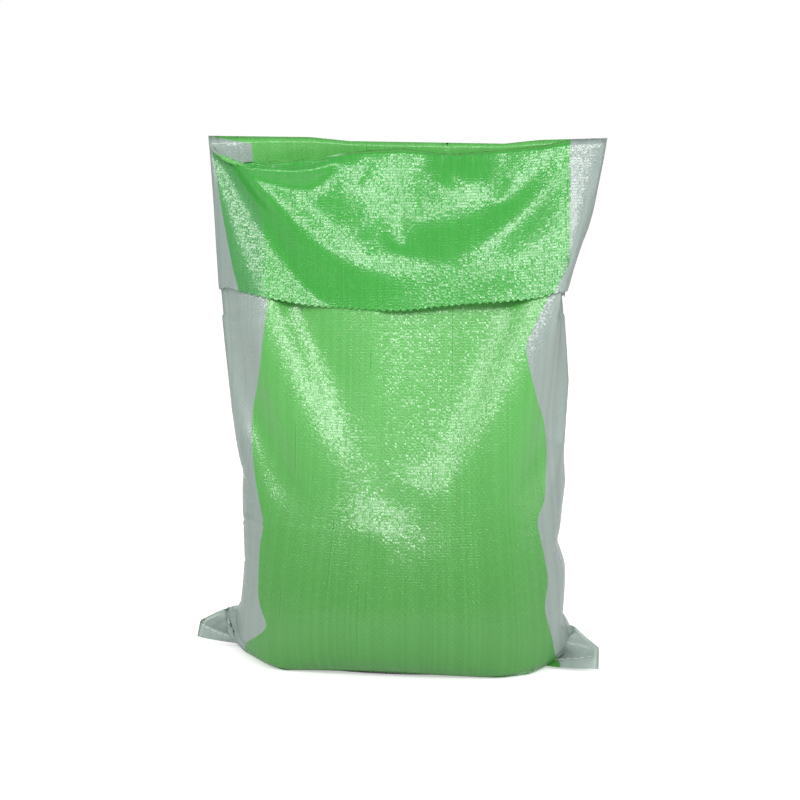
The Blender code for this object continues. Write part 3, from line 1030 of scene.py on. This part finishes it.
def weave_group():
    """Tapes over and under each other, from a place on the flat cloth."""
    tree, given, result = new_group(
        "tape weave",
        [("Place", "NodeSocketVector", None), ("Upright tape", "NodeSocketFloat", UPRIGHT_TAPE),
         ("Round tape", "NodeSocketFloat", ROUND_TAPE)],
        [("Height", "NodeSocketFloat"), ("Upright on top", "NodeSocketFloat"),
         ("Upright chance", "NodeSocketFloat"), ("Facet", "NodeSocketFloat")])
    place = add(tree, "SeparateXYZ")
    plug(tree, given.outputs["Place"], place.inputs[0])
    a = work_out(tree, "DIVIDE", place.outputs[0], given.outputs["Upright tape"])
    b = work_out(tree, "DIVIDE", place.outputs[1], given.outputs["Round tape"])
    number_a, number_b = work_out(tree, "FLOOR", a), work_out(tree, "FLOOR", b)
    on_top = work_out(tree, "MODULO", work_out(tree, "ADD", number_a, number_b), 2.0)
    arch_a = work_out(tree, "SINE", work_out(tree, "MULTIPLY", work_out(tree, "FRACT", a), math.pi))
    arch_b = work_out(tree, "SINE", work_out(tree, "MULTIPLY", work_out(tree, "FRACT", b), math.pi))

    def tape(across, along):
        shoulder = work_out(tree, "MINIMUM", work_out(tree, "MULTIPLY", across, 2.0), 1.0)
        return work_out(tree, "MULTIPLY", shoulder, work_out(tree, "MULTIPLY_ADD", along, 0.5, 0.5))

    upright, round_tape = tape(arch_a, arch_b), tape(arch_b, arch_a)
    rise = work_out(tree, "SUBTRACT", upright, round_tape)
    plug(tree, work_out(tree, "MULTIPLY_ADD", rise, on_top, round_tape), result.inputs["Height"])
    plug(tree, on_top, result.inputs["Upright on top"])

    chance = add(tree, "TexWhiteNoise", noise_dimensions="1D")
    plug(tree, number_a, chance.inputs["W"])
    plug(tree, chance.outputs["Value"], result.inputs["Upright chance"])
    crossing = add(tree, "CombineXYZ")
    plug(tree, number_a, crossing.inputs[0])
    plug(tree, number_b, crossing.inputs[1])
    leans = add(tree, "TexWhiteNoise", noise_dimensions="2D")
    plug(tree, crossing.outputs[0], leans.inputs["Vector"])
    lean = add(tree, "SeparateColor")
    plug(tree, leans.outputs["Color"], lean.inputs[0])

    def tilt(amount, place_in_cell):
        centred = [work_out(tree, "SUBTRACT", value, 0.5) for value in (amount, work_out(tree, "FRACT", place_in_cell))]
        return work_out(tree, "MULTIPLY", *centred)

    facet = work_out(tree, "ADD", tilt(lean.outputs[0], a), tilt(lean.outputs[1], b))
    inner = work_out(tree, "MINIMUM", work_out(tree, "MULTIPLY", work_out(tree, "MULTIPLY", arch_a, arch_b), 3.0), 1.0)
    plug(tree, work_out(tree, "MULTIPLY", work_out(tree, "MULTIPLY", facet, 4.0), inner), result.inputs["Facet"])
    return tree


weave = weave_group()
print("weave group:", len(weave.nodes), "nodes")

# %% [markdown]
# ## Gaps and crinkles
#
# Here and there two upright tapes stand a little apart for some centimetres, and the dark
# inside shows as a fine line. And the whole cloth is crinkled from being packed flat, in soft
# short folds that only show where light glances off it.

# %% Gap and crinkle groups
GAP_SHARE = 0.88
GAP_WIDTH = 0.16


def gap_group():
    """Thin dark lines between some of the upright tapes."""
    tree, given, result = new_group("tape gaps", [("Place", "NodeSocketVector", None)], [("Gap", "NodeSocketFloat")])
    place = add(tree, "SeparateXYZ")
    plug(tree, given.outputs["Place"], place.inputs[0])
    along = work_out(tree, "ADD", work_out(tree, "DIVIDE", place.outputs[0], UPRIGHT_TAPE), 0.5)
    chance = add(tree, "TexWhiteNoise", noise_dimensions="1D")
    plug(tree, work_out(tree, "FLOOR", along), chance.inputs["W"])
    edge = work_out(tree, "ABSOLUTE", work_out(tree, "SUBTRACT", work_out(tree, "FRACT", along), 0.5))
    line = ramp(tree, edge, GAP_WIDTH * 0.5, GAP_WIDTH, 1.0, 0.0)
    where = add(tree, "CombineXYZ")
    plug(tree, work_out(tree, "MULTIPLY", work_out(tree, "FLOOR", along), 7.3), where.inputs[0])
    plug(tree, work_out(tree, "MULTIPLY", place.outputs[1], 9.0), where.inputs[1])
    stretch = add(tree, "TexNoise")
    stretch.inputs["Scale"].default_value = 1.0
    plug(tree, where.outputs[0], stretch.inputs["Vector"])
    on = work_out(tree, "MULTIPLY", work_out(tree, "GREATER_THAN", chance.outputs["Value"], GAP_SHARE),
                  ramp(tree, stretch.outputs["Fac"], 0.50, 0.60))
    plug(tree, work_out(tree, "MULTIPLY", line, on), result.inputs["Gap"])
    return tree


def crinkle_group():
    """Soft short folds in all directions, as a height from 0 to 1."""
    tree, given, result = new_group("crinkles", [("Place", "NodeSocketVector", None)], [("Height", "NodeSocketFloat")])
    total = None
    for scale, share in ((26.0, 0.6), (70.0, 0.25)):
        noise = add(tree, "TexNoise")
        noise.inputs["Scale"].default_value = scale
        noise.inputs["Detail"].default_value = 2.0
        noise.inputs["Distortion"].default_value = 0.6
        plug(tree, given.outputs["Place"], noise.inputs["Vector"])
        part = work_out(tree, "MULTIPLY", noise.outputs["Fac"], share)
        total = part if total is None else work_out(tree, "ADD", total, part)
    plug(tree, total, result.inputs["Height"])
    return tree


gaps, crinkle = gap_group(), crinkle_group()
print("groups:", [g.name for g in bpy.data.node_groups])

# %% [markdown]
# ## The sleeve's cloth
#
# Green tape and clear tape share the weave and differ in colour and in how much they let
# through. Over another layer the green deepens, and over a clear stripe it looks greyer. Where
# the sack is empty the green is painted lighter than over the granules, a painted light for what
# comes through from behind, and low on the middle of the belly it is painted darker, a painted
# shade. Sharp ridges are a little whiter, partly as stretched film is and partly as a painted
# highlight. The inside of the back wall, seen in the mouth, has a faint painted glow for the
# light that comes through it.

# %% Cloth material
GREEN_UPRIGHT = colour(84, 165, 73)
GREEN_ROUND = colour(87, 168, 77)
# Painted light: a lighter green for cloth where the sack is empty, standing in for light that comes through from
# behind.
LIT_UPRIGHT = colour(104, 194, 95)
LIT_ROUND = colour(107, 197, 99)
DOUBLE_GREEN = colour(66, 178, 66)
CLEAR_UPRIGHT = colour(170, 187, 180)
CLEAR_ROUND = colour(174, 191, 184)
GREY_GREEN = colour(84, 166, 92)
DARK_GAP = colour(70, 140, 66)
# Sharp ridges are paler: partly the whitening of stretched film, partly a painted highlight.
CREASE_WHITE_AND_HIGHLIGHT = colour(205, 232, 210)
CREASE_BEND = (90.0, 320.0)
CREASE_PALER = 0.35
STRIPE_BLUR = 0.0008
GLOSS_ROUGHNESS = 0.2
GLOSS_LEVEL = 0.9
# Painted glow: how strongly the inside of the back wall gives off light of its own colour.
PAINTED_SHINE_THROUGH = 0.08
CLEAR_COVER = 0.86
GREEN_COVER = 0.985


def read_value(tree, name):
    """A number that the mesh keeps for each point."""
    return add(tree, "Attribute", attribute_name=name).outputs["Fac"]


def grey(tree, value):
    """A grey of that value."""
    made = add(tree, "CombineXYZ")
    for socket in made.inputs:
        plug(tree, value, socket)
    return made.outputs[0]


def cloth_material():
    """Woven tape, green or clear by its place on the cloth."""
    material = bpy.data.materials.new("woven tape cloth")
    material.use_nodes = True
    tree = material.node_tree
    shader = tree.nodes["Principled BSDF"]
    place = add(tree, "UVMap", uv_map=CLOTH_MAP).outputs[0]
    cloth = use_group(tree, weave, Place=place)
    on_top = cloth.outputs["Upright on top"]
    is_green = ramp(tree, read_value(tree, "green"), -STRIPE_BLUR, STRIPE_BLUR)
    doubled = ramp(tree, read_value(tree, "doubled"), 0.4, 0.6)
    under = ramp(tree, read_value(tree, "green under"), -0.002, 0.002)
    # The "empty" mask paints the green lighter above the granules (painted light) and darker in a patch low on the
    # belly (painted shade).
    green_cloth = mix(tree, read_value(tree, "empty"), mix(tree, on_top, GREEN_ROUND, GREEN_UPRIGHT),
                      mix(tree, on_top, LIT_ROUND, LIT_UPRIGHT))
    green_cloth = mix(tree, doubled, green_cloth, DOUBLE_GREEN)
    green_cloth = mix(tree, under, GREY_GREEN, green_cloth)
    clear_cloth = mix(tree, on_top, CLEAR_ROUND, CLEAR_UPRIGHT)
    gap = use_group(tree, gaps, Place=place).outputs["Gap"]
    green_cloth = mix(tree, gap, green_cloth, DARK_GAP)
    base = mix(tree, is_green, clear_cloth, green_cloth)
    tapes = work_out(tree, "MULTIPLY_ADD", cloth.outputs["Upright chance"], 0.10, 0.93)
    base = mix(tree, 1.0, base, grey(tree, tapes), "MULTIPLY")
    # Painted highlight with real crease whitening: ridges of the cloth are mixed towards a pale white.
    creased_and_highlit = ramp(tree, read_value(tree, "bend"), *CREASE_BEND, 0.0, CREASE_PALER)
    base = mix(tree, creased_and_highlit, base, CREASE_WHITE_AND_HIGHLIGHT)
    plug(tree, base, shader.inputs["Base Color"])
    # Painted glow: the inside of the back wall, seen in the mouth, gives off a little light of its own colour, for
    # light that comes through the cloth from behind.
    inside = work_out(tree, "MULTIPLY", add(tree, "NewGeometry").outputs["Backfacing"],
                      work_out(tree, "SUBTRACT", 1.0, doubled))
    painted_glow = mix(tree, work_out(tree, "MULTIPLY", inside, PAINTED_SHINE_THROUGH), (0, 0, 0, 1), base)
    plug(tree, painted_glow, shader.inputs["Emission Color"])
    shader.inputs["Emission Strength"].default_value = 1.0
    shader.inputs["Roughness"].default_value = GLOSS_ROUGHNESS
    shader.inputs["Specular IOR Level"].default_value = GLOSS_LEVEL
    plug(tree, ramp(tree, is_green, 0.0, 1.0, CLEAR_COVER, GREEN_COVER), shader.inputs["Alpha"])
    bump = add(tree, "Bump")
    bump.inputs["Distance"].default_value = 0.0003
    bump.inputs["Strength"].default_value = 0.18
    plug(tree, cloth.outputs["Height"], bump.inputs["Height"])
    soft = add(tree, "Bump")
    soft.inputs["Distance"].default_value = 0.004
    soft.inputs["Strength"].default_value = 0.2
    plug(tree, use_group(tree, crinkle, Place=place).outputs["Height"], soft.inputs["Height"])
    grains = add(tree, "Bump")
    grains.inputs["Distance"].default_value = 0.0003
    grains.inputs["Strength"].default_value = 0.42
    plug(tree, cloth.outputs["Facet"], grains.inputs["Height"])
    plug(tree, soft.outputs[0], grains.inputs["Normal"])
    plug(tree, grains.outputs[0], bump.inputs["Normal"])
    plug(tree, bump.outputs[0], shader.inputs["Normal"])
    return material


def granule_material():
    """Pale mineral granules, a few millimetres across, each a little different."""
    material = bpy.data.materials.new("pale granules")
    material.use_nodes = True
    tree = material.node_tree
    shader = tree.nodes["Principled BSDF"]
    place = add(tree, "TexCoord").outputs["Object"]
    grain = add(tree, "TexVoronoi", feature="F1")
    grain.inputs["Scale"].default_value = 260
    plug(tree, place, grain.inputs["Vector"])
    chance = add(tree, "SeparateColor")
    plug(tree, grain.outputs["Color"], chance.inputs[0])
    plug(tree, mix(tree, chance.outputs[0], colour(196, 194, 184), colour(236, 234, 226)), shader.inputs["Base Color"])
    shader.inputs["Roughness"].default_value = 0.85
    bump = add(tree, "Bump")
    bump.inputs["Distance"].default_value = 0.002
    plug(tree, work_out(tree, "SUBTRACT", 1.0, work_out(tree, "MULTIPLY", grain.outputs["Distance"], 300.0)),
         bump.inputs["Height"])
    plug(tree, bump.outputs[0], shader.inputs["Normal"])
    return material


def thread_material():
    """White sewing thread, with the fine slanting ridges of its twist."""
    material = bpy.data.materials.new("white thread")
    material.use_nodes = True
    tree = material.node_tree
    shader = tree.nodes["Principled BSDF"]
    twist = add(tree, "TexWave", bands_direction="DIAGONAL")
    twist.inputs["Scale"].default_value = 900
    plug(tree, add(tree, "TexCoord").outputs["Object"], twist.inputs["Vector"])
    plug(tree, mix(tree, twist.outputs["Fac"], colour(205, 210, 208), colour(245, 247, 246)), shader.inputs["Base Color"])
    shader.inputs["Roughness"].default_value = 0.6
    bump = add(tree, "Bump")
    bump.inputs["Distance"].default_value = 0.0001
    plug(tree, twist.outputs["Fac"], bump.inputs["Height"])
    plug(tree, bump.outputs[0], shader.inputs["Normal"])
    return material


thread_mesh.materials.append(thread_material())
fill_mesh.materials.append(granule_material())
sleeve.data.materials.append(cloth_material())
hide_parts("woven_sleeve")
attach(sleeve, "root")

# %% [markdown]
# ## Floor and light
#
# The photograph was taken on white. A pale floor and a bright plain world give the white. The
# floor's own glow is for the camera alone, so it throws no extra light up at the sack. Three
# narrow lamps on an arc above the camera are what the glossy cloth mirrors: they light the two
# arms of the V, the small arrow below it and the upper part of the cuff, and leave the rest
# plain. Two soft lamps fill the right side and the back.

# %% Floor
def plain_material(name, tint, roughness):
    """One plain finish, for the floor."""
    material = bpy.data.materials.new(name)
    material.use_nodes = True
    shader = material.node_tree.nodes["Principled BSDF"]
    shader.inputs["Base Color"].default_value = tint
    shader.inputs["Roughness"].default_value = roughness
    return material


FLOOR_SIZE = 14.0
FLOOR_GLOW = (0.50, 0.74)
GLOW_REACH = (0.3, 1.6)
floor_mesh = bpy.data.meshes.new("floor")
corners = [(x * FLOOR_SIZE / 2, y * FLOOR_SIZE / 2, 0) for x, y in ((-1, -1), (1, -1), (1, 1), (-1, 1))]
floor_mesh.from_pydata(corners, [], [(0, 1, 2, 3)])
floor = bpy.data.objects.new("floor", floor_mesh)
bpy.context.scene.collection.objects.link(floor)
floor_finish = plain_material("pale floor", (0.9, 0.9, 0.9, 1), 0.8)
floor_tree = floor_finish.node_tree
floor_shader = floor_tree.nodes["Principled BSDF"]
floor_shader.inputs["Specular IOR Level"].default_value = 0.0
floor_shader.inputs["Emission Color"].default_value = (1, 1, 1, 1)
away = add(floor_tree, "VectorMath", operation="LENGTH")
plug(floor_tree, add(floor_tree, "TexCoord").outputs["Object"], away.inputs[0])
glow = work_out(floor_tree, "MULTIPLY", add(floor_tree, "LightPath").outputs["Is Camera Ray"],
                ramp(floor_tree, away.outputs["Value"], *GLOW_REACH, *FLOOR_GLOW))
plug(floor_tree, glow, floor_shader.inputs["Emission Strength"])
floor_mesh.materials.append(floor_finish)

# %% Lamps
LAMPS = [("left strip", -46, 32.5, 2.0, (1.3, 0.32), 7.5), ("middle strip", -11, 33.5, 2.0, (1.2, 0.30), 7),
         ("right strip", 24, 35, 2.0, (1.3, 0.44), 12), ("right fill", 80, 22, 2.0, (1.6, 1.6), 7),
         ("back fill", 185, 35, 2.2, (2.2, 1.4), 18)]
AMBIENT = 0.35

for name, turn, rise, distance, (width, height), power in LAMPS:
    data = bpy.data.lights.new(name, "AREA")
    data.shape = "RECTANGLE"
    data.size, data.size_y, data.energy = width, height, power
    lamp = bpy.data.objects.new(name, data)
    bpy.context.scene.collection.objects.link(lamp)
    look_at(lamp, AIM + distance * direction(math.radians(turn), math.radians(rise)), AIM)

world = bpy.data.worlds.new("studio")
world.use_nodes = True
tree = world.node_tree
backdrop = tree.nodes["Background"]
backdrop.inputs["Color"].default_value = (1, 1, 1, 1)
seen_directly = add(tree, "LightPath").outputs["Is Camera Ray"]
plug(tree, work_out(tree, "MULTIPLY_ADD", seen_directly, 1 - AMBIENT, AMBIENT), backdrop.inputs["Strength"])
bpy.context.scene.world = world
bpy.context.scene.view_settings.view_transform = "Standard"
